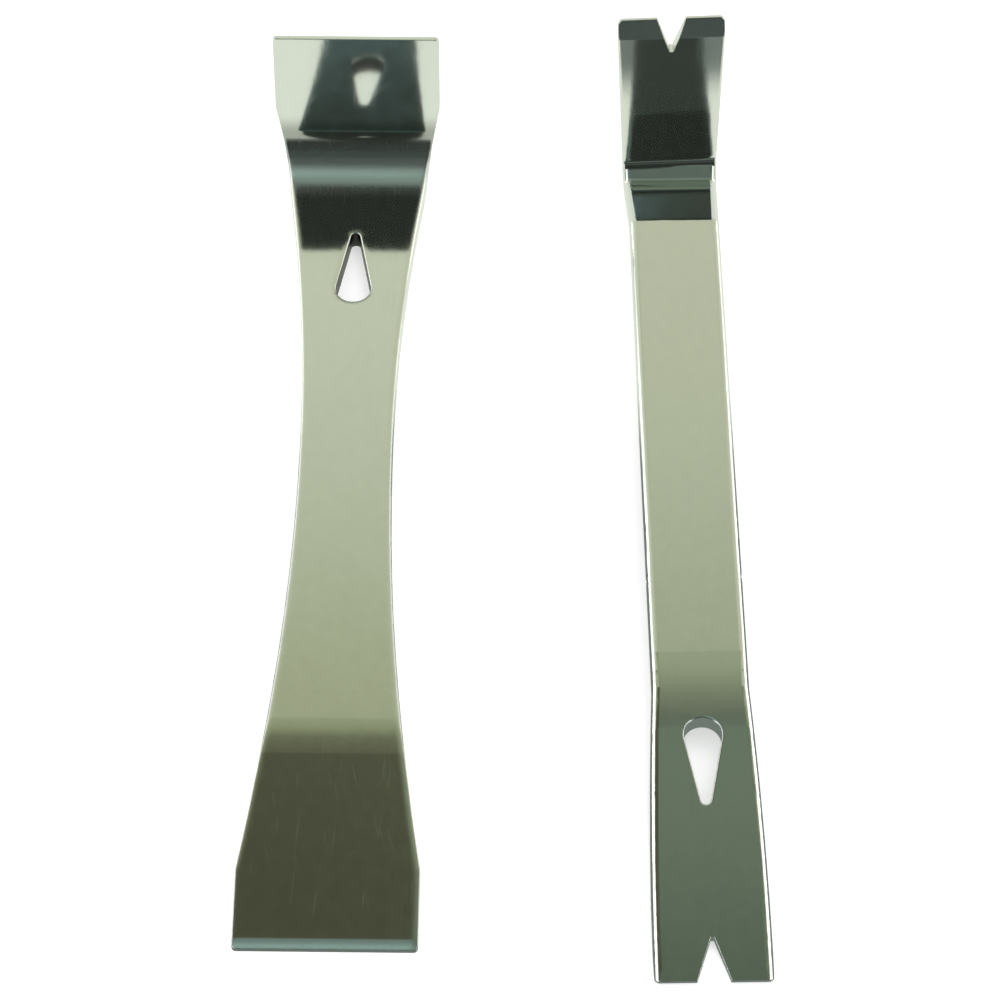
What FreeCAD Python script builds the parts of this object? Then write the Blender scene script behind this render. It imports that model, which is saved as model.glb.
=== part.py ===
import FreeCAD, Part
import math
import os

os.makedirs("parts", exist_ok=True)

# A set of two polished pry bars, lying side by side on a table.
# +X runs across the bars, +Y from the flat tips to the upright blades, +Z up.
# The origin is on the table, at the middle of the set's bounding box.
# Each bar is drawn along the Y axis first, then turned and moved to its place.

# --- both bars ---------------------------------------------------------------
STOCK = 5.8                 # thickness of the bar stock
BEND_INSIDE = 3.0           # least inner radius of a downward bend
CUT_SPARE = 3.0             # how far a cutter runs past the metal
SIDE_SPARE = 14.0           # how far a side cutter runs outwards
STATION = 6.0               # spacing of the stations along a curved side
SHORTEST = 0.01             # shorter stretches of a side are left out
SIDEWAYS = 0.9              # a face is a side if its normal leans this far to X
NEAR_SIDE = 0.9             # share of the half width beyond which an edge is at a side

# --- scraper bar: an hourglass with a broad blade at each end -----------------
SCRAPER_X = -42.05
SCRAPER_YAW = -0.7
SCRAPER_TIP_Y = -139.7
SCRAPER_CORNER_Y = 125.2    # where the blade's inner face meets the shank's top
SCRAPER_BLADE_ANGLE = 84.0  # upright blade, measured from the table
SCRAPER_BLADE = 44.4        # inner face of the upright blade, from that corner
SCRAPER_BEND_RADIUS = 12.0
SCRAPER_BLADE_WIDTH = 46.7
SCRAPER_WAIST_WIDTH = 25.2
SCRAPER_WAIST_Y = 18.0
SCRAPER_TIP_SIDE = 22.8     # parallel sides at the flat blade
SCRAPER_TOP_SIDE = 25.6     # parallel sides at the upright blade
SCRAPER_EDGE_RADIUS = 0.7
SCRAPER_TAPER_Y = -77.5     # where the flat end starts to thin
SCRAPER_TAPER_RADIUS = 150.0
SCRAPER_TAPER_SPARE = 12.0  # how far the softened start reaches up the shank
SCRAPER_TAPER_END = 1.5     # thickness where its edge bevel starts
SCRAPER_BEVEL = 3.0         # length of the edge bevel
SCRAPER_EDGE = 1.0          # thickness of the flat working edge
SCRAPER_TOP_EDGE = 1.4      # thickness of the upright working edge
SCRAPER_BACK_TAPER = 30.0   # ground back of the upright blade
SCRAPER_CORNER_RADIUS = 1.2

# --- nail bar: a narrow bar with a V claw at each end --------------------------
NAIL_X = 50.7
NAIL_YAW = 0.96
NAIL_TIP_Y = -149.0
NAIL_WIDTH = 25.3
NAIL_CLAW_WIDTH = 30.1
NAIL_HEEL_WIDTH = 26.8
NAIL_SHANK_EDGE = 2.0       # edge radius of the shank
NAIL_BLADE_EDGE = 0.6       # edge radius of the upright claw
NAIL_TIP_TOP = 1.4          # height of the tip's top edge
NAIL_TIP_SLOPE = 7.2        # the tip end slopes down to the table
NAIL_DROOP_Y = -66.7        # middle of the droop bend
NAIL_DROOP_RADIUS = 200.0
NAIL_SHANK_RISE = 0.6       # the shank climbs this many degrees towards the heel
NAIL_CREASE_Y = 95.2        # where the shank turns down to the heel
NAIL_CREASE_RADIUS = 2.6
NAIL_RAMP_SLOPE = 19.4
NAIL_RAMP = 23.3
NAIL_HEEL_RADIUS = 1.2
NAIL_HEEL_SLOPE = 31.5      # short rising facet between the ramp and the claw
NAIL_HEEL = 5.9
NAIL_CLAW_RADIUS = 3.7
NAIL_CLAW_ANGLE = 77.8      # upright claw, measured from the table
NAIL_CLAW = 42.0            # inner face of the upright claw, from the heel to the bevel
NAIL_CLAW_TWIST = 2.0       # the claw is turned slightly about the vertical
NAIL_CLAW_SINK = 0.5        # how far the turned claw reaches into the heel
NAIL_BEVEL = 5.6            # front bevel of the upright claw
NAIL_BEVEL_ANGLE = 18.0
NAIL_END_THICKNESS = 1.1
NAIL_TIP_TAPER = 42.0       # ground underside of the tip claw
NAIL_BACK_TAPER = 24.0      # ground back of the upright claw
NAIL_TIP_FLARE = 83.0       # length over which the tip widens
NAIL_TIP_PARALLEL = 3.0     # last stretch of the tip, with parallel sides
NAIL_CLAW_CORNER = 1.6
NAIL_NICK_Y = -29.7         # small nicks in both edges of the shank
NAIL_NICK_RADIUS = 2.2
NAIL_NICK_DEPTH = 0.5

# --- openings -------------------------------------------------------------------
HOLE_WIDTH = 9.8
HOLE_NARROW_RADIUS = 1.3
HOLE_RIM = 0.4                   # rounding of the holes' rims
SCRAPER_HOLE = (71.2, 96.9)      # wide end, narrow end
NAIL_HOLE = (-76.0, -101.0)      # along the sloping tip
TIP_NOTCH = (8.5, 12.0)          # mouth, depth
CLAW_NOTCH = (8.0, 9.9)
NOTCH_ROOT = 0.8                 # width of the notch's bottom


def point(x, y, z):
    return FreeCAD.Vector(x, y, z)


def direction(angle):
    """Unit vector in the Y-Z plane, measured from +Y up."""
    turn = math.radians(angle)
    return point(0, math.cos(turn), math.sin(turn))


def left_of(way):
    """The unit normal on the upper side of a way along the bar."""
    return point(0, -way.z, way.y)


def corner_arc(before, corner, after, radius):
    """Tangent arc that rounds one corner of a path."""
    way_in = (corner - before).normalize()
    way_out = (after - corner).normalize()
    turn = way_in.getAngle(way_out)
    reach = radius * math.tan(turn / 2)
    start = corner - way_in * reach
    end = corner + way_out * reach
    inward = (way_out - way_in).normalize()
    middle = corner + inward * (radius / math.cos(turn / 2) - radius)
    return Part.Arc(start, middle, end).toShape()


def rounded_path(corners, radii):
    """Straight runs joined by tangent arcs, as a list of edges in order."""
    edges = []
    start = corners[0]
    for index, radius in enumerate(radii, 1):
        arc = corner_arc(corners[index - 1], corners[index], corners[index + 1], radius)
        arc_start = arc.valueAt(arc.FirstParameter)
        edges.append(Part.makeLine(start, arc_start))
        edges.append(arc)
        start = arc.valueAt(arc.LastParameter)
    edges.append(Part.makeLine(start, corners[-1]))
    return edges


def offset_corners(corners, distance):
    """The same path moved to its lower side by a distance."""
    ways = [(b - a).normalize() for a, b in zip(corners, corners[1:])]
    moved = [corners[0] - left_of(ways[0]) * distance]
    for corner, way_in, way_out in zip(corners[1:-1], ways, ways[1:]):
        bisector = (left_of(way_in) + left_of(way_out)).normalize()
        stretch = distance / bisector.dot(left_of(way_in))
        moved.append(corner - bisector * stretch)
    moved.append(corners[-1] - left_of(ways[-1]) * distance)
    return moved


def turns_up(before, corner, after):
    way_in = corner - before
    way_out = after - corner
    return way_in.y * way_out.z - way_in.z * way_out.y > 0


def bent_strip(corners, radii, width):
    """A flat bar of the stock thickness, bent along the path of its upper face."""
    lower_corners = offset_corners(corners, STOCK)
    lower_radii = []
    for index, radius in enumerate(radii, 1):
        upwards = turns_up(*corners[index - 1:index + 2])
        lower_radii.append(radius + STOCK if upwards else max(radius - STOCK, BEND_INSIDE))
    upper = rounded_path(corners, radii)
    lower = rounded_path(lower_corners, lower_radii)
    ends = [Part.makeLine(corners[0], lower_corners[0])]
    ends.append(Part.makeLine(corners[-1], lower_corners[-1]))
    outline = Part.Wire(Part.__sortEdges__(upper + lower + ends))
    outline.translate(point(-width / 2, 0, 0))
    return Part.Face(outline).extrude(point(width, 0, 0))


def stations(edges, start, end):
    """Places along the upper face between two lengths: (length, place, way)."""
    found = []
    travelled = 0.0
    for edge in edges:
        low = max(start - travelled, 0.0)
        high = min(end - travelled, edge.Length)
        if high - low > SHORTEST:
            steps = max(2, math.ceil((high - low) / STATION))
            for step in range(steps + 1):
                length = min(low + (high - low) * step / steps, edge.Length)
                parameter = edge.getParameterByLength(length)
                way = edge.tangentAt(parameter)
                found.append((travelled + length, edge.valueAt(parameter), way))
        travelled += edge.Length
    kept = found[:1]
    for item in found[1:]:
        if item[0] - kept[-1][0] > SHORTEST:
            kept.append(item)
    return kept


def spline(places):
    curve = Part.BSplineCurve()
    curve.interpolate(places)
    return curve.toShape()


def side_cutter(edges, start, end, half_width, side):
    """Removes what lies outside the half width between two lengths of the bar."""
    above = []
    below = []
    for length, place, way in stations(edges, start, end):
        sideways = point(side * half_width(length), 0, 0)
        above.append(place + left_of(way) * CUT_SPARE + sideways)
        below.append(place - left_of(way) * (STOCK + CUT_SPARE) + sideways)
    wall = Part.makeRuledSurface(spline(above), spline(below))
    return wall.extrude(point(side * SIDE_SPARE, 0, 0))


def shape_sides(bar, edges, breaks, half_width):
    """Cuts both sides of a bar, one stretch at a time."""
    for start, end in zip(breaks, breaks[1:]):
        for side in (-1, 1):
            bar = bar.cut(side_cutter(edges, start, end, half_width, side))
    return bar.Solids[0]


def length_of(edges):
    return sum(edge.Length for edge in edges)


def prism(corners, lift):
    """A solid with a flat polygon as its base."""
    return Part.Face(Part.makePolygon(corners + corners[:1])).extrude(lift)


def side_wedge(places, bar_width):
    """A block across the whole bar, drawn as a polygon in the Y-Z plane."""
    width = bar_width + 2 * CUT_SPARE
    corners = [point(-width / 2, place.y, place.z) for place in places]
    return prism(corners, point(width, 0, 0))


def teardrop(wide_end, narrow_end):
    """A flat teardrop face on the plane z = 0, its ends on the Y axis."""
    toward = 1 if narrow_end > wide_end else -1
    big = HOLE_WIDTH / 2
    small = HOLE_NARROW_RADIUS
    big_centre = wide_end + toward * big
    small_centre = narrow_end - toward * small
    tilt = math.asin((big - small) / abs(small_centre - big_centre))
    across = math.cos(tilt)
    along = toward * math.sin(tilt)
    big_right = point(big * across, big_centre + big * along, 0)
    big_left = point(-big * across, big_centre + big * along, 0)
    small_right = point(small * across, small_centre + small * along, 0)
    small_left = point(-small * across, small_centre + small * along, 0)
    edges = [
        Part.Arc(big_left, point(0, wide_end, 0), big_right).toShape(),
        Part.makeLine(big_right, small_right),
        Part.Arc(small_right, point(0, narrow_end, 0), small_left).toShape(),
        Part.makeLine(small_left, big_left),
    ]
    return Part.Face(Part.Wire(edges))


def notch(mouth, depth):
    """A V with a narrow flat root, open towards -Y, its mouth on y = 0."""
    slope = (mouth - NOTCH_ROOT) / 2 / depth
    outer = mouth / 2 + slope * CUT_SPARE
    root = NOTCH_ROOT / 2
    corners = [
        point(-outer, -CUT_SPARE, 0),
        point(-root, depth, 0),
        point(root, depth, 0),
        point(outer, -CUT_SPARE, 0),
    ]
    return Part.Face(Part.makePolygon(corners + corners[:1]))


def through(face, tilt, place):
    """Drives a flat cutter face through the stock, tilted and moved to a place."""
    reach = STOCK + 2 * CUT_SPARE
    face.translate(point(0, 0, -reach))
    tool = face.extrude(point(0, 0, 2 * reach))
    tool.rotate(point(0, 0, 0), point(1, 0, 0), tilt)
    tool.translate(place)
    return tool


def corner_trims(half_width, radius, tilt, place, open_way):
    """Rounds the two outer corners of an end that faces +Y or -Y before tilting."""
    trims = []
    for side in (-1, 1):
        corner = point(side * half_width, 0, 0)
        inner_x = side * (half_width - radius)
        inner_y = -open_way * radius
        bulge = radius * (1 - math.sqrt(0.5))
        on_arc = point(side * (half_width - bulge), -open_way * bulge, 0)
        start = point(inner_x, 0, 0)
        end = point(side * half_width, inner_y, 0)
        spare = point(side * CUT_SPARE, open_way * CUT_SPARE, 0)
        edges = [
            Part.Arc(start, on_arc, end).toShape(),
            Part.makeLine(end, point(end.x + spare.x, end.y, 0)),
            Part.makeLine(point(end.x + spare.x, end.y, 0), corner + spare),
            Part.makeLine(corner + spare, point(start.x, spare.y, 0)),
            Part.makeLine(point(start.x, spare.y, 0), start),
        ]
        trims.append(through(Part.Face(Part.Wire(edges)), tilt, place))
    return trims


def in_plane(edge, place, way):
    """True if both ends of an edge lie in the plane across a way."""
    return all(abs((vertex.Point - place).dot(way)) < SHORTEST for vertex in edge.Vertexes)


def long_edges(bar, width, ends):
    """The edges that run along the bar at its sides, not across its ends."""
    chosen = []
    for edge in bar.Edges:
        box = edge.BoundBox
        if min(abs(box.XMin), abs(box.XMax)) < NEAR_SIDE * width / 2:
            continue
        if any(in_plane(edge, place, way) for place, way in ends):
            continue
        middle = edge.valueAt((edge.FirstParameter + edge.LastParameter) / 2)
        faces = bar.ancestorsOfType(edge, Part.Face)
        sides = [face for face in faces if abs(side_normal(face, middle).x) > SIDEWAYS]
        if len(sides) == 1:
            chosen.append(edge)
    return chosen


def side_normal(face, place):
    u, v = face.Surface.parameter(place)
    return face.normalAt(u, v)


def round_rims(bar, hole, axis):
    """Rounds both rims of a hole that was cut along an axis."""
    rims = []
    for edge in bar.Edges:
        middle = edge.valueAt((edge.FirstParameter + edge.LastParameter) / 2)
        if hole.distToShape(Part.Vertex(middle))[0] > SHORTEST:
            continue
        along = edge.tangentAt((edge.FirstParameter + edge.LastParameter) / 2)
        if abs(along.dot(axis)) < SIDEWAYS:
            rims.append(edge)
    return bar.makeFillet(HOLE_RIM, rims)


# --- scraper bar -----------------------------------------------------------------

def scraper_path():
    corner = point(0, SCRAPER_CORNER_Y, STOCK)
    blade_tip = corner + direction(SCRAPER_BLADE_ANGLE) * SCRAPER_BLADE
    corners = [point(0, SCRAPER_TIP_Y, STOCK), corner, blade_tip]
    return corners, [SCRAPER_BEND_RADIUS]


def scraper_half_width(total):
    """Half width by length from the flat tip: two arcs that meet at the waist."""
    waist = SCRAPER_WAIST_Y - SCRAPER_TIP_Y
    narrow = SCRAPER_WAIST_WIDTH / 2
    rise = (SCRAPER_BLADE_WIDTH - SCRAPER_WAIST_WIDTH) / 2
    run_low = waist - SCRAPER_TIP_SIDE
    run_high = total - SCRAPER_TOP_SIDE - waist

    def half_width(length):
        run = run_low if length < waist else run_high
        radius = (run * run + rise * rise) / (2 * rise)
        away = min(abs(length - waist), run)
        return narrow + radius - math.sqrt(radius * radius - away * away)

    return half_width


def scraper_flat_taper():
    """What is taken off the flat end: a slow taper that starts softly, and an edge bevel."""
    bevel_start = point(0, SCRAPER_TIP_Y + SCRAPER_BEVEL, SCRAPER_TAPER_END)
    sharp = point(0, SCRAPER_TIP_Y, SCRAPER_EDGE)
    crease = point(0, SCRAPER_TAPER_Y, STOCK)
    on_shank = point(0, SCRAPER_TAPER_Y + SCRAPER_TAPER_SPARE, STOCK)
    surface = rounded_path([on_shank, crease, bevel_start], [SCRAPER_TAPER_RADIUS])
    top = STOCK + CUT_SPARE
    rest = [
        bevel_start,
        sharp,
        point(0, SCRAPER_TIP_Y - CUT_SPARE, SCRAPER_EDGE),
        point(0, SCRAPER_TIP_Y - CUT_SPARE, top),
        point(0, on_shank.y, top),
        on_shank,
    ]
    edges = surface + [Part.makeLine(a, b) for a, b in zip(rest, rest[1:])]
    outline = Part.Wire(Part.__sortEdges__(edges))
    width = SCRAPER_BLADE_WIDTH + 2 * CUT_SPARE
    outline.translate(point(-width / 2, 0, 0))
    return Part.Face(outline).extrude(point(width, 0, 0))


def scraper_back_grind():
    """The wedge taken off the back of the upright blade."""
    corners, _ = scraper_path()
    up = direction(SCRAPER_BLADE_ANGLE)
    back = left_of(up) * -1
    tip = corners[-1]
    start = tip - up * SCRAPER_BACK_TAPER + back * STOCK
    sharp = tip + back * SCRAPER_TOP_EDGE
    past = sharp + up * CUT_SPARE
    far = past + back * (STOCK + CUT_SPARE)
    low = start + back * CUT_SPARE
    return side_wedge([start, sharp, past, far, low], SCRAPER_BLADE_WIDTH)


def scraper_bar():
    corners, radii = scraper_path()
    edges = rounded_path(corners, radii)
    total = length_of(edges)
    up = direction(SCRAPER_BLADE_ANGLE)
    bar = bent_strip(corners, radii, SCRAPER_BLADE_WIDTH)
    waist = SCRAPER_WAIST_Y - SCRAPER_TIP_Y
    breaks = [SCRAPER_TIP_SIDE, waist, total - SCRAPER_TOP_SIDE]
    bar = shape_sides(bar, edges, breaks, scraper_half_width(total))
    ends = [(corners[0], direction(0)), (corners[-1], up)]
    bar = bar.makeFillet(SCRAPER_EDGE_RADIUS, long_edges(bar, SCRAPER_WAIST_WIDTH, ends))
    hole = through(teardrop(*SCRAPER_HOLE), 0, point(0, 0, 0))
    bar = round_rims(bar.cut(hole), hole, direction(90))
    tip = point(0, SCRAPER_TIP_Y, 0)
    half = SCRAPER_BLADE_WIDTH / 2
    trims = corner_trims(half, SCRAPER_CORNER_RADIUS, 0, tip, -1)
    trims += corner_trims(half, SCRAPER_CORNER_RADIUS, SCRAPER_BLADE_ANGLE, corners[-1], 1)
    for tool in [scraper_flat_taper(), scraper_back_grind()] + trims:
        bar = bar.cut(tool)
    return bar


# --- nail bar ---------------------------------------------------------------------

def nail_path():
    """Upper face from the tip over the shank, down to the heel and up the claw."""
    tip_way = direction(NAIL_TIP_SLOPE)
    shank_way = direction(NAIL_SHANK_RISE)
    tip = point(0, NAIL_TIP_Y, NAIL_TIP_TOP)
    droop = tip + tip_way * ((NAIL_DROOP_Y - NAIL_TIP_Y) / tip_way.y)
    crease = droop + shank_way * ((NAIL_CREASE_Y - NAIL_DROOP_Y) / shank_way.y)
    heel = crease + direction(-NAIL_RAMP_SLOPE) * NAIL_RAMP
    claw_root = heel + direction(NAIL_HEEL_SLOPE) * NAIL_HEEL
    bevel_reach = NAIL_BEVEL * math.cos(math.radians(NAIL_BEVEL_ANGLE))
    claw_tip = claw_root + direction(NAIL_CLAW_ANGLE) * (NAIL_CLAW + bevel_reach)
    corners = [tip, droop, crease, heel, claw_root, claw_tip]
    radii = [NAIL_DROOP_RADIUS, NAIL_CREASE_RADIUS, NAIL_HEEL_RADIUS, NAIL_CLAW_RADIUS]
    return corners, radii


def side_blocks(outline, tilt, place):
    """Blocks beyond both sides of a bar: (half width, distance along) in order."""
    blocks = []
    for side in (-1, 1):
        wall = [point(side * half, along, 0) for half, along in outline]
        far_end = wall[-1] + point(side * SIDE_SPARE, 0, 0)
        far_start = wall[0] + point(side * SIDE_SPARE, 0, 0)
        edges = [
            spline(wall),
            Part.makeLine(wall[-1], far_end),
            Part.makeLine(far_end, far_start),
            Part.makeLine(far_start, wall[0]),
        ]
        blocks.append(through(Part.Face(Part.Wire(edges)), tilt, place))
    return blocks


def tip_outline():
    """Half widths of the tip claw: it widens quickly at first, then slower."""
    rise = (NAIL_CLAW_WIDTH - NAIL_WIDTH) / 2
    steps = math.ceil(NAIL_TIP_FLARE / STATION)
    outline = []
    for step in range(steps + 1):
        left = 1 - step / steps
        run = NAIL_TIP_PARALLEL + (NAIL_TIP_FLARE - NAIL_TIP_PARALLEL) * step / steps
        half = NAIL_WIDTH / 2 + rise * (1 - (1 - left) ** 2)
        outline.append((half, NAIL_TIP_Y + run))
    return outline


def nail_shank(strip, ledge, ends):
    """The lower part of the nail bar, from the tip to the foot of the upright claw."""
    corners, _ = nail_path()
    tip = corners[0]
    tip_way = direction(NAIL_TIP_SLOPE)
    narrow = NAIL_WIDTH / 2
    heel_end = ledge.y + STOCK
    spread = (NAIL_HEEL_WIDTH - NAIL_WIDTH) / 2 / (ledge.y - NAIL_CREASE_Y)
    flare_end = narrow + spread * (heel_end - NAIL_CREASE_Y)
    flare = tip_outline()
    middle = [(narrow, flare[-1][1]), (narrow, NAIL_CREASE_Y)]
    heel = [(narrow, NAIL_CREASE_Y), (flare_end, heel_end)]
    for outline in (flare, middle, heel):
        for block in side_blocks(outline, 0, point(0, 0, STOCK)):
            strip = strip.cut(block)
    shank = strip.makeFillet(NAIL_SHANK_EDGE, long_edges(strip, NAIL_WIDTH, ends))
    above_origin = tip - tip_way * (NAIL_TIP_Y / tip_way.y)
    hole = through(teardrop(*NAIL_HOLE), NAIL_TIP_SLOPE, above_origin)
    shank = round_rims(shank.cut(hole), hole, left_of(tip_way))
    cutters = [nail_tip_grind(), through(notch(*TIP_NOTCH), NAIL_TIP_SLOPE, tip)]
    cutters += corner_trims(NAIL_CLAW_WIDTH / 2, NAIL_CLAW_CORNER, NAIL_TIP_SLOPE, tip, -1)
    for tool in cutters + nail_nicks():
        shank = shank.cut(tool)
    return shank


def nail_claw(strip, ends):
    """The upright claw: it widens evenly from its foot to its bevel."""
    corners, _ = nail_path()
    root = corners[-2]
    claw_tip = corners[-1]
    foot_half = NAIL_HEEL_WIDTH / 2
    claw_half = NAIL_CLAW_WIDTH / 2
    foot = [(foot_half, -STOCK - CUT_SPARE), (foot_half, 0)]
    blade = [(foot_half, 0), (claw_half, NAIL_CLAW)]
    for outline in (foot, blade):
        for block in side_blocks(outline, NAIL_CLAW_ANGLE, root):
            strip = strip.cut(block)
    claw = strip.makeFillet(NAIL_BLADE_EDGE, long_edges(strip, NAIL_HEEL_WIDTH, ends))
    opening = notch(*CLAW_NOTCH)
    opening.rotate(point(0, 0, 0), point(0, 0, 1), 180)
    cutters = nail_claw_bevels() + [through(opening, NAIL_CLAW_ANGLE, claw_tip)]
    cutters += corner_trims(claw_half, NAIL_CLAW_CORNER, NAIL_CLAW_ANGLE, claw_tip, 1)
    for tool in cutters:
        claw = claw.cut(tool)
    return claw


def nail_claw_bevels():
    """Wedges that sharpen the upright claw from the front and from behind."""
    corners, _ = nail_path()
    claw_tip = corners[-1]
    up = direction(NAIL_CLAW_ANGLE)
    back = left_of(up) * -1
    bevel = math.radians(NAIL_BEVEL_ANGLE)
    front_start = claw_tip - up * NAIL_BEVEL * math.cos(bevel)
    front_edge = claw_tip + back * NAIL_BEVEL * math.sin(bevel)
    front = [
        front_start,
        front_edge,
        front_edge + up * CUT_SPARE,
        front_start - back * CUT_SPARE + up * (NAIL_BEVEL + CUT_SPARE),
        front_start - back * CUT_SPARE,
    ]
    back_edge = front_edge + back * NAIL_END_THICKNESS
    back_start = claw_tip + back * STOCK - up * NAIL_BACK_TAPER
    rear = [
        back_start,
        back_edge,
        back_edge + up * CUT_SPARE,
        back_edge + up * CUT_SPARE + back * (STOCK + CUT_SPARE),
        back_start + back * CUT_SPARE,
    ]
    return [side_wedge(front, NAIL_CLAW_WIDTH), side_wedge(rear, NAIL_CLAW_WIDTH)]


def nail_tip_grind():
    """The wedge that thins the tip claw from below."""
    corners, _ = nail_path()
    tip = corners[0]
    way = direction(NAIL_TIP_SLOPE)
    down = left_of(way) * -1
    edge = tip + down * NAIL_END_THICKNESS
    start = tip + down * STOCK + way * NAIL_TIP_TAPER
    return side_wedge([
        edge,
        start,
        start + down * CUT_SPARE,
        edge + down * (STOCK + CUT_SPARE) - way * CUT_SPARE,
        edge - way * CUT_SPARE,
    ], NAIL_CLAW_WIDTH)


def nail_nicks():
    """Small round nicks in both edges of the shank."""
    nicks = []
    for side in (-1, 1):
        centre_x = side * (NAIL_WIDTH / 2 + NAIL_NICK_RADIUS - NAIL_NICK_DEPTH)
        base = point(centre_x, NAIL_NICK_Y, 0)
        nicks.append(Part.makeCylinder(NAIL_NICK_RADIUS, NAIL_CLAW, base))
    return nicks


def nail_bar():
    """A bent strip with round edges up to the upright claw, crisp ones from there."""
    corners, radii = nail_path()
    strip = bent_strip(corners, radii, NAIL_CLAW_WIDTH)
    way = direction(NAIL_HEEL_SLOPE)
    up = left_of(way)
    turn = math.radians(NAIL_CLAW_ANGLE - NAIL_HEEL_SLOPE)
    ledge = corners[-2] - way * NAIL_CLAW_RADIUS * math.tan(turn / 2)
    below = ledge - up * (STOCK + CUT_SPARE)
    above = ledge + up * 2 * NAIL_CLAW
    beyond = way * 2 * NAIL_CLAW
    corner_places = [ledge, below, below + beyond, above + beyond, above]
    claw_side = side_wedge(corner_places, NAIL_CLAW_WIDTH)
    ends = [(corners[0], direction(NAIL_TIP_SLOPE)), (ledge, way)]
    ends.append((corners[-1], direction(NAIL_CLAW_ANGLE)))
    shank = nail_shank(strip.cut(claw_side), ledge, ends)
    claw = nail_claw(strip.common(claw_side), ends)
    claw.translate(way * -NAIL_CLAW_SINK)
    claw.rotate(ledge, point(0, 0, 1), NAIL_CLAW_TWIST)
    return shank.fuse(claw).removeSplitter()


def place_bar(bar, x, yaw):
    bar.rotate(point(0, 0, 0), point(0, 0, 1), yaw)
    bar.translate(point(x, 0, 0))
    return bar


def centre_set(bars):
    """Moves the bars together, so that the origin is under the set's middle."""
    boxes = [bar.optimalBoundingBox(False, False) for bar in bars]
    middle_x = (min(box.XMin for box in boxes) + max(box.XMax for box in boxes)) / 2
    middle_y = (min(box.YMin for box in boxes) + max(box.YMax for box in boxes)) / 2
    for bar in bars:
        bar.translate(point(-middle_x, -middle_y, 0))
    print("moved by %.3f %.3f" % (-middle_x, -middle_y))


def report(name, bar):
    box = bar.optimalBoundingBox(False, False)
    print(name, "solids", len(bar.Solids), "valid", bar.isValid(), "faces", len(bar.Faces))
    print("  x %.2f %.2f  y %.2f %.2f  z %.2f %.2f" % (
        box.XMin, box.XMax, box.YMin, box.YMax, box.ZMin, box.ZMax))


def main():
    bars = {
        "scraper_bar": place_bar(scraper_bar(), SCRAPER_X, SCRAPER_YAW),
        "nail_bar": place_bar(nail_bar(), NAIL_X, NAIL_YAW),
    }
    centre_set(bars.values())
    for name, bar in bars.items():
        report(name, bar)
        bar.exportStep("parts/" + name + ".step")


main()
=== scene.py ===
import math

import bpy
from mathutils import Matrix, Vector

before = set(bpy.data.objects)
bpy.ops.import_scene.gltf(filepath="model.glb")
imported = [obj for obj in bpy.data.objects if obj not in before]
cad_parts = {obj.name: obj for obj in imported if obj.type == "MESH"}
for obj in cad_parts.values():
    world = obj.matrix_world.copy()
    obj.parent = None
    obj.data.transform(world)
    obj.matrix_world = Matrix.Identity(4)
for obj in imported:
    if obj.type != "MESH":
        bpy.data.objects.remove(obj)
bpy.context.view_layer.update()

# --- camera ------------------------------------------------------------------
AIM = Vector((-0.000518, 0.006985, 0.0058))
CAMERA_DISTANCE = 1.1330
CAMERA_ELEVATION = math.radians(51.37)
LENS = 151.6
SENSOR = 36.0
NEAREST = 0.01
FURTHEST = 100.0

# --- studio --------------------------------------------------------------------
FLOOR_SIZE = 30.0
SHEET_SIZE = 0.62           # the only part of the floor that shows in the metal
SHEET_DROP = 0.0004
SHEET_GLOW = 0.0
FLOOR_COLOUR = (0.80, 0.80, 0.80, 1.0)
SHEET_COLOUR = (0.70, 0.75, 0.66, 1.0)    # beside the upright blades
SHEET_FAR = (0.16, 0.19, 0.17)            # from the middle of the bars to their flat tips
SHEET_FADE = (0.025, 0.060)               # metres along Y between the two
FLOOR_GLOW = 0.45
BACKGROUND = (0.96, 0.96, 0.96, 1.0)
SUN_STRENGTH = 0.5
SUN_SOFTNESS = math.radians(35)
SUN_FROM = (0.30, 0.10, 1.0)

# The studio by direction: degrees from straight up, + towards +Y, then the light there.
# The room differs a little between the -X half, over the scraper bar, and the +X half.
STUDIO_LEFT = (
    (-110, (46, 50, 47)),
    (-92, (44, 48, 43)),
    (-80, (48, 54, 48)),
    (-74, (57, 65, 60)),
    (-66, (52, 58, 52)),
    (-62, (66, 78, 74)),
    (-60, (104, 130, 128)),
    (-58, (118, 148, 146)),
    (-57.2, (80, 98, 98)),
    (-56.4, (36, 39, 31)),
    (-54, (40, 45, 39)),
    (-45, (108, 126, 119)),
    (-38, (84, 98, 92)),
    (-34.5, (34, 39, 34)),
    (-26, (42, 48, 43)),
    (-23, (70, 80, 74)),
    (-18, (104, 122, 114)),
    (-10, (136, 161, 152)),
    (0, (146, 176, 168)),
    (8, (134, 163, 155)),
    (15, (92, 106, 96)),
    (20, (76, 82, 66)),
    (24.5, (66, 67, 50)),
    (26, (70, 73, 54)),
    (28, (78, 81, 63)),
    (30.2, (97, 101, 77)),
    (33.3, (134, 144, 111)),
    (36, (154, 162, 129)),
    (38.6, (176, 185, 159)),
    (41.5, (190, 197, 173)),
    (60, (200, 208, 188)),
    (92, (210, 214, 204)),
)
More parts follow.
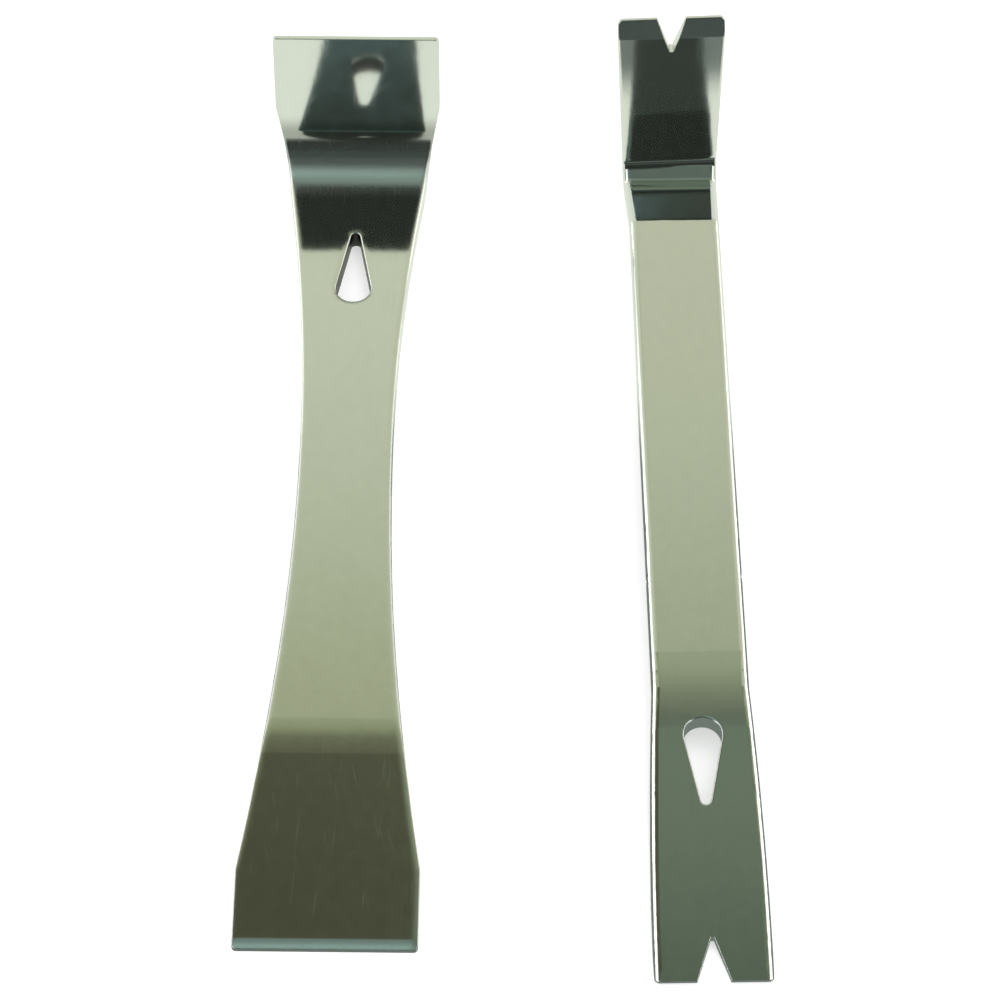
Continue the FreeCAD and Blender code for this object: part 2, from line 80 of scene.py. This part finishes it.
STUDIO_RIGHT = (
    (-110, (46, 50, 47)),
    (-92, (52, 58, 54)),
    (-86, (76, 88, 84)),
    (-80, (98, 110, 105)),
    (-74, (60, 68, 63)),
    (-69, (52, 59, 53)),
    (-65, (52, 58, 51)),
    (-60, (64, 74, 66)),
    (-57, (60, 69, 61)),
    (-55, (52, 60, 56)),
    (-50, (38, 43, 38)),
    (-30, (34, 39, 34)),
    (-26, (42, 48, 43)),
    (-23, (70, 80, 74)),
    (-18, (96, 110, 98)),
    (-10, (110, 127, 112)),
    (0, (114, 129, 112)),
    (8, (100, 113, 97)),
    (16, (79, 90, 75)),
    (18, (81, 93, 77)),
    (19, (95, 108, 90)),
    (20.9, (105, 121, 100)),
    (21.5, (94, 108, 91)),
    (23.2, (92, 102, 86)),
    (25.6, (106, 116, 94)),
    (28.1, (119, 129, 105)),
    (30.6, (134, 145, 117)),
    (33, (142, 153, 125)),
    (35.4, (152, 161, 132)),
    (37.5, (170, 179, 153)),
    (41, (183, 188, 163)),
    (92, (210, 214, 204)),
)
MIDDLE_BLEND = 0.015        # how far along X the two halves blend
LAMP_RISE = (0.62, 0.82)    # a long lamp on each side, by how far a direction leans to X
LAMP_FALL = (0.86, 0.95)
LAMP_COLOUR = (2.2, 2.2, 2.156, 1.0)
METAL = (0.78, 0.79, 0.76)  # the steel's mean colour, which the bands make up for

# --- steel: patterns per millimetre, heights in metres ---------------------------
MM_PER_METRE = 1000.0
METAL_DARK = (0.755, 0.765, 0.735)
METAL_LIGHT = (0.805, 0.815, 0.785)
METAL_WORN = (0.86, 0.86, 0.84)
FINE_BRUSH = ((5.0, 0.06, 0.06), 2.0)     # scale along X, Y and Z, then detail
BROAD_BRUSH = ((1.3, 0.03, 0.03), 3.0)
MOTTLE = ((0.33, 0.22, 0.22), 3.0)
SWELL = ((0.06, 0.03, 0.05), 1.0)
NOISE_ROUGHNESS = 0.5
FINE_HEIGHT = 4.0e-7
BROAD_HEIGHT = 1.6e-6
MOTTLE_HEIGHT = 8.0e-6
SWELL_HEIGHT = 4.0e-5
SCRATCH_LINES = ((6.5, 0.05, 1.0), 0.0)
SCRATCH_BREAKS = ((0.25, 0.05, 1.0), 1.0)
SCRATCH_GAPS = (0.45, 0.6)
SCRATCH_SOFTNESS = 0.05
SCRATCH_DEPTH = 8.0e-7
SCRATCH_SETS = (             # degrees from lengthwise, how sparse, where the pattern starts
    (4.0, 0.75, (3.1, 7.13)),
    (-11.0, 0.78, (17.7, 40.71)),
    (38.0, 0.80, (41.3, 94.99)),
)
ROUGH_BASE = 0.045
ROUGH_BRUSH = 0.04
ROUGH_MOTTLE = 0.03
ROUGH_SCRATCH = 0.12
ROUGH_WORN = 0.10
EDGE_SOFTNESS = 0.00045     # metres over which a sharp edge is rounded off
EDGE_SAMPLES = 5
EDGE_TURN = (0.004, 0.08)   # how far an edge turns before it counts as worn, and fully so
WORN_PATCHES = (0.35, 0.6)
# Painted shade: the walls of the scraper bar's hanging hole are coloured almost black.
HOLE_PAINTED_SHADE = (0.045, 0.045, 0.04)
WALL_ROUGH = 0.35

# Zones in millimetres, in the frame's own axes.
BEND_RISE = (121.5, 129.0)  # y + z where the scraper bar's frosted bend begins
BEND_FALL = (139.0, 151.0)  # and where it ends, up the blade
BEND_ROUGH = 0.22
# Painted shade: the colour of the blade just above the scraper bar's bend is darkened.
FOOT_SHADE_RISE = (136.0, 140.0)  # y + z where the painted shade on the blade above the bend begins
FOOT_SHADE_FALL = (149.0, 157.0)  # and where it ends
FOOT_PAINTED_SHADE = (0.42, 0.43, 0.40)
BLADE_LOW = (8.0, 11.0)     # height where a blade's own face begins
BLADE_FACE = (0.88, 0.96)   # a face is the blade's if its normal leans this far to -Y
# The polish of each upright blade leans a little across it, and the claw's is bowed too:
# the X of its middle in millimetres, metres of rise per millimetre, and the bow per millimetre.
BLADE_POLISH = {"scraper_bar": (-42.05, 0.8e-5, 0.0), "nail_bar": (50.7, 5.6e-5, -0.0098214)}
CROWN_RADIUS = 0.0026       # metres; the scraper bar is slightly crowned towards its sides
CROWN_SHARE = 0.30
CROWN_TOP = (8.0, 10.0)     # height above which there is no crown
SCRAPER_HOLE_Y = (76.0, 105.5)
SCRAPER_HOLE_X = (-53.0, -30.0)
WALL_LEVEL = (0.35, 0.6)    # a surface is a wall where its normal leans this little upwards


def linear(value):
    """A display value from 0 to 255 as linear light."""
    v = value / 255.0
    return v / 12.92 if v <= 0.04045 else ((v + 0.055) / 1.055) ** 2.4


def add(tree, kind, **settings):
    node = tree.nodes.new(kind)
    for name, value in settings.items():
        setattr(node, name, value)
    return node


def math_node(tree, operation, a, b=None):
    node = add(tree, "ShaderNodeMath", operation=operation)
    for socket, value in zip(node.inputs, (a, b)):
        if value is None:
            continue
        if isinstance(value, (int, float)):
            socket.default_value = value
        else:
            tree.links.new(value, socket)
    return node.outputs[0]


def map_range(tree, value, low, high, to_low=0.0, to_high=1.0, smooth=True):
    node = add(tree, "ShaderNodeMapRange", clamp=True)
    node.interpolation_type = "SMOOTHSTEP" if smooth else "LINEAR"
    tree.links.new(value, node.inputs["Value"])
    node.inputs["From Min"].default_value = low
    node.inputs["From Max"].default_value = high
    node.inputs["To Min"].default_value = to_low
    node.inputs["To Max"].default_value = to_high
    return node.outputs["Result"]


def mix_colour(tree, factor, first, second):
    node = add(tree, "ShaderNodeMix", data_type="RGBA")
    tree.links.new(factor, node.inputs["Factor"])
    for socket, value in (("A", first), ("B", second)):
        if isinstance(value, tuple):
            node.inputs[socket].default_value = (*value, 1.0)
        else:
            tree.links.new(value, node.inputs[socket])
    return node.outputs["Result"]


def band_ramp(tree, angle, bands):
    """The studio's light by angle from straight up, as a colour ramp."""
    first = bands[0][0]
    span = bands[-1][0] - first
    place = map_range(tree, angle, math.radians(first), math.radians(first + span), smooth=False)
    ramp = add(tree, "ShaderNodeValToRGB")
    ramp.color_ramp.interpolation = "LINEAR"
    elements = ramp.color_ramp.elements
    while len(elements) < len(bands):
        elements.new(0.5)
    for element, (degrees, colour) in zip(elements, bands):
        element.position = (degrees - first) / span
        element.color = [linear(c) / m for c, m in zip(colour, METAL)] + [1.0]
    tree.links.new(place, ramp.inputs[0])
    return ramp.outputs["Color"]


def build_world():
    world = bpy.data.worlds.new("studio")
    bpy.context.scene.world = world
    world.use_nodes = True
    tree = world.node_tree
    tree.nodes.clear()
    coords = add(tree, "ShaderNodeTexCoord")
    split = add(tree, "ShaderNodeSeparateXYZ")
    tree.links.new(coords.outputs["Generated"], split.inputs[0])
    x, y, z = split.outputs
    angle = math_node(tree, "ARCTAN2", y, z)
    right = map_range(tree, x, -MIDDLE_BLEND, MIDDLE_BLEND)
    bands = mix_colour(tree, right, band_ramp(tree, angle, STUDIO_LEFT),
                       band_ramp(tree, angle, STUDIO_RIGHT))

    across = math_node(tree, "ABSOLUTE", x)
    side = math_node(tree, "MULTIPLY", map_range(tree, across, *LAMP_RISE),
                     map_range(tree, across, *LAMP_FALL, 1.0, 0.0))
    lamp = add(tree, "ShaderNodeMix", data_type="RGBA")
    tree.links.new(side, lamp.inputs["Factor"])
    tree.links.new(bands, lamp.inputs["A"])
    lamp.inputs["B"].default_value = LAMP_COLOUR

    studio = add(tree, "ShaderNodeBackground")
    tree.links.new(lamp.outputs["Result"], studio.inputs["Color"])
    plain = add(tree, "ShaderNodeBackground")
    plain.inputs["Color"].default_value = BACKGROUND
    plain.inputs["Strength"].default_value = 1.0
    path = add(tree, "ShaderNodeLightPath")
    mix = add(tree, "ShaderNodeMixShader")
    tree.links.new(path.outputs["Is Glossy Ray"], mix.inputs[0])
    tree.links.new(plain.outputs[0], mix.inputs[1])
    tree.links.new(studio.outputs[0], mix.inputs[2])
    out = add(tree, "ShaderNodeOutputWorld")
    tree.links.new(mix.outputs[0], out.inputs["Surface"])


def paper(name, size, height, colour, glow):
    """A square of plain matt paper, lying flat, lit a little from below."""
    mesh = bpy.data.meshes.new(name)
    h = size / 2
    corners = [(-h, -h, height), (h, -h, height), (h, h, height), (-h, h, height)]
    mesh.from_pydata(corners, [], [(0, 1, 2, 3)])
    sheet = bpy.data.objects.new(name, mesh)
    bpy.context.scene.collection.objects.link(sheet)
    material = bpy.data.materials.new(name + "_paper")
    material.use_nodes = True
    shader = material.node_tree.nodes["Principled BSDF"]
    shader.inputs["Base Color"].default_value = colour
    shader.inputs["Roughness"].default_value = 1.0
    shader.inputs["Specular IOR Level"].default_value = 0.0
    shader.inputs["Emission Color"].default_value = (1.0, 1.0, 1.0, 1.0)
    shader.inputs["Emission Strength"].default_value = glow
    mesh.materials.append(material)
    return sheet


def build_floor():
    floor = paper("floor", FLOOR_SIZE, 0.0, FLOOR_COLOUR, FLOOR_GLOW)
    floor.visible_glossy = False
    sheet = paper("mirrored_floor", SHEET_SIZE, -SHEET_DROP, SHEET_COLOUR, SHEET_GLOW)
    fade_sheet(sheet.active_material)
    sheet.visible_camera = False
    sheet.visible_diffuse = False
    sheet.visible_shadow = False


def fade_sheet(material):
    """The mirrored floor is light near the upright blades and darker further off."""
    tree = material.node_tree
    coords = add(tree, "ShaderNodeTexCoord")
    split = add(tree, "ShaderNodeSeparateXYZ")
    tree.links.new(coords.outputs["Object"], split.inputs[0])
    light = map_range(tree, split.outputs[1], *SHEET_FADE)
    colour = mix_colour(tree, light, SHEET_FAR, SHEET_COLOUR[:3])
    tree.links.new(colour, tree.nodes["Principled BSDF"].inputs["Base Color"])


def build_sun():
    data = bpy.data.lights.new("soft_sun", "SUN")
    data.energy = SUN_STRENGTH
    data.angle = SUN_SOFTNESS
    sun = bpy.data.objects.new("soft_sun", data)
    bpy.context.scene.collection.objects.link(sun)
    sun.rotation_mode = "QUATERNION"
    sun.rotation_quaternion = Vector(SUN_FROM).to_track_quat("Z", "Y")
    sun.visible_glossy = False


def noise(tree, place, scale, detail):
    """Noise over millimetres, with its own scale along each axis."""
    mapping = add(tree, "ShaderNodeMapping")
    mapping.inputs["Scale"].default_value = scale
    tree.links.new(place, mapping.inputs["Vector"])
    node = add(tree, "ShaderNodeTexNoise", noise_dimensions="3D")
    node.inputs["Scale"].default_value = 1.0
    node.inputs["Detail"].default_value = detail
    node.inputs["Roughness"].default_value = NOISE_ROUGHNESS
    tree.links.new(mapping.outputs[0], node.inputs["Vector"])
    return node.outputs[0]


def scratches(tree, unrolled, angle, density, place):
    """Sparse thin straight scratches at one angle to the bar's length."""
    mapping = add(tree, "ShaderNodeMapping", vector_type="POINT")
    mapping.inputs["Rotation"].default_value = (0.0, 0.0, angle)
    mapping.inputs["Location"].default_value = (*place, 0.0)
    tree.links.new(unrolled, mapping.inputs["Vector"])
    line = noise(tree, mapping.outputs[0], *SCRATCH_LINES)
    broken = noise(tree, mapping.outputs[0], *SCRATCH_BREAKS)
    thin = map_range(tree, line, density, density + SCRATCH_SOFTNESS)
    part = map_range(tree, broken, *SCRATCH_GAPS)
    return math_node(tree, "MULTIPLY", thin, part)


def bump(tree, height, distance, normal):
    node = add(tree, "ShaderNodeBump")
    node.inputs["Strength"].default_value = 1.0
    node.inputs["Distance"].default_value = distance
    tree.links.new(height, node.inputs["Height"])
    tree.links.new(normal, node.inputs["Normal"])
    return node.outputs[0]


def between(tree, value, low, high, softness):
    """One inside a range of millimetres, zero outside."""
    rise = map_range(tree, value, low - softness, low)
    fall = map_range(tree, value, high, high + softness, 1.0, 0.0)
    return math_node(tree, "MULTIPLY", rise, fall)


def scraper_zones(tree, split, normal):
    """Masks of the frosted bend, of the painted shade where the blade rises from the bend, and of
    the hanging hole's walls, which are given painted shade.
    """
    x, y, z = split.outputs
    run = math_node(tree, "ADD", y, z)
    begins = map_range(tree, run, *BEND_RISE)
    ends = map_range(tree, run, *BEND_FALL, 1.0, 0.0)
    bend = math_node(tree, "MULTIPLY", begins, ends)
    foot_shade = math_node(tree, "MULTIPLY", map_range(tree, run, *FOOT_SHADE_RISE),
                     map_range(tree, run, *FOOT_SHADE_FALL, 1.0, 0.0))
    parts = add(tree, "ShaderNodeSeparateXYZ")
    tree.links.new(normal, parts.inputs[0])
    upright = math_node(tree, "ABSOLUTE", parts.outputs[2])
    wall = map_range(tree, upright, *WALL_LEVEL, 1.0, 0.0)
    near = math_node(tree, "MULTIPLY", between(tree, x, *SCRAPER_HOLE_X, 1.0),
                     between(tree, y, *SCRAPER_HOLE_Y, 1.0))
    return bend, foot_shade, math_node(tree, "MULTIPLY", wall, near)


def blade_face(tree, split, normal):
    """Mask of the upright blade's front face."""
    parts = add(tree, "ShaderNodeSeparateXYZ")
    tree.links.new(normal, parts.inputs[0])
    forward = math_node(tree, "MULTIPLY", parts.outputs[1], -1.0)
    face = map_range(tree, forward, *BLADE_FACE)
    return math_node(tree, "MULTIPLY", face, map_range(tree, split.outputs[2], *BLADE_LOW))


def mix_vector(tree, factor, first, second):
    node = add(tree, "ShaderNodeMix", data_type="VECTOR")
    tree.links.new(factor, node.inputs["Factor"])
    tree.links.new(first, node.inputs["A"])
    tree.links.new(second, node.inputs["B"])
    return node.outputs["Result"]


def steel(bar):
    """Hand-polished stainless steel: brushed lengthwise, with soft worn edges."""
    material = bpy.data.materials.new("polished_stainless_" + bar)
    material.use_nodes = True
    tree = material.node_tree
    shader = tree.nodes["Principled BSDF"]
    shader.inputs["Metallic"].default_value = 1.0

    coords = add(tree, "ShaderNodeTexCoord")
    scaled = add(tree, "ShaderNodeVectorMath", operation="SCALE")
    scaled.inputs["Scale"].default_value = MM_PER_METRE
    tree.links.new(coords.outputs["Object"], scaled.inputs[0])
    place = scaled.outputs[0]
    split = add(tree, "ShaderNodeSeparateXYZ")
    tree.links.new(place, split.inputs[0])
    unrolled = add(tree, "ShaderNodeCombineXYZ")
    tree.links.new(split.outputs[0], unrolled.inputs[0])
    tree.links.new(math_node(tree, "ADD", split.outputs[1], split.outputs[2]), unrolled.inputs[1])

    fine = noise(tree, place, *FINE_BRUSH)
    broad = noise(tree, place, *BROAD_BRUSH)
    mottle = noise(tree, place, *MOTTLE)
    swell = noise(tree, place, *SWELL)
    marks = None
    for angle, density, start in SCRATCH_SETS:
        found = scratches(tree, unrolled.outputs[0], math.radians(angle), density, start)
        marks = found if marks is None else math_node(tree, "MAXIMUM", marks, found)

    bevel = add(tree, "ShaderNodeBevel", samples=EDGE_SAMPLES)
    bevel.inputs["Radius"].default_value = EDGE_SOFTNESS
    geometry = add(tree, "ShaderNodeNewGeometry")
    facing = add(tree, "ShaderNodeVectorMath", operation="DOT_PRODUCT")
    tree.links.new(bevel.outputs[0], facing.inputs[0])
    tree.links.new(geometry.outputs["Normal"], facing.inputs[1])
    turned = math_node(tree, "SUBTRACT", 1.0, facing.outputs["Value"])
    edge = map_range(tree, turned, *EDGE_TURN)
    worn = math_node(tree, "MULTIPLY", edge, map_range(tree, mottle, *WORN_PATCHES))

    colour = mix_colour(tree, mottle, METAL_DARK, METAL_LIGHT)
    colour = mix_colour(tree, worn, colour, METAL_WORN)

    rough = ROUGH_BASE
    shares = ((fine, ROUGH_BRUSH), (mottle, ROUGH_MOTTLE), (marks, ROUGH_SCRATCH))
    for value, amount in shares + ((worn, ROUGH_WORN),):
        rough = math_node(tree, "ADD", math_node(tree, "MULTIPLY", value, amount), rough)
    middle, lean, bow = BLADE_POLISH[bar]
    across = math_node(tree, "SUBTRACT", split.outputs[0], middle)
    bowed = math_node(tree, "MULTIPLY", math_node(tree, "MULTIPLY", across, across), bow)
    leaning = bump(tree, math_node(tree, "ADD", across, bowed), lean, bevel.outputs[0])
    face = blade_face(tree, split, geometry.outputs["Normal"])
    normal = mix_vector(tree, face, bevel.outputs[0], leaning)
    if bar == "scraper_bar":
        crown = add(tree, "ShaderNodeBevel", samples=EDGE_SAMPLES)
        crown.inputs["Radius"].default_value = CROWN_RADIUS
        share = map_range(tree, split.outputs[2], *CROWN_TOP, CROWN_SHARE, 0.0)
        normal = mix_vector(tree, share, normal, crown.outputs[0])
    normal = bump(tree, swell, SWELL_HEIGHT, normal)
    if bar == "scraper_bar":
        bend, foot_shade, wall = scraper_zones(tree, split, geometry.outputs["Normal"])
        # Painted shade: the blade's colour is darkened just above the bend.
        colour = mix_colour(tree, foot_shade, colour, FOOT_PAINTED_SHADE)
        # Painted shade: the hole's walls are made almost black; below, they are also made
        # rougher.
        colour = mix_colour(tree, wall, colour, HOLE_PAINTED_SHADE)
        for value, amount in ((bend, BEND_ROUGH), (wall, WALL_ROUGH)):
            rough = math_node(tree, "ADD", math_node(tree, "MULTIPLY", value, amount), rough)
    tree.links.new(colour, shader.inputs["Base Color"])
    tree.links.new(rough, shader.inputs["Roughness"])

    normal = bump(tree, mottle, MOTTLE_HEIGHT, normal)
    normal = bump(tree, broad, BROAD_HEIGHT, normal)
    normal = bump(tree, fine, FINE_HEIGHT, normal)
    normal = bump(tree, marks, -SCRATCH_DEPTH, normal)
    tree.links.new(normal, shader.inputs["Normal"])
    return material


def build_camera():
    data = bpy.data.cameras.new("camera")
    data.lens = LENS
    data.sensor_width = SENSOR
    data.clip_start = NEAREST
    data.clip_end = FURTHEST
    camera = bpy.data.objects.new("camera", data)
    bpy.context.scene.collection.objects.link(camera)
    back = Vector((0.0, -math.cos(CAMERA_ELEVATION), math.sin(CAMERA_ELEVATION)))
    camera.location = AIM + back * CAMERA_DISTANCE
    camera.rotation_mode = "QUATERNION"
    camera.rotation_quaternion = (-back).to_track_quat("-Z", "Y")
    bpy.context.scene.camera = camera


def main():
    bpy.context.scene.view_settings.view_transform = "Standard"
    build_world()
    build_floor()
    build_sun()
    build_camera()
    for name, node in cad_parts.items():
        node.data.materials.clear()
        node.data.materials.append(steel(name))


main()
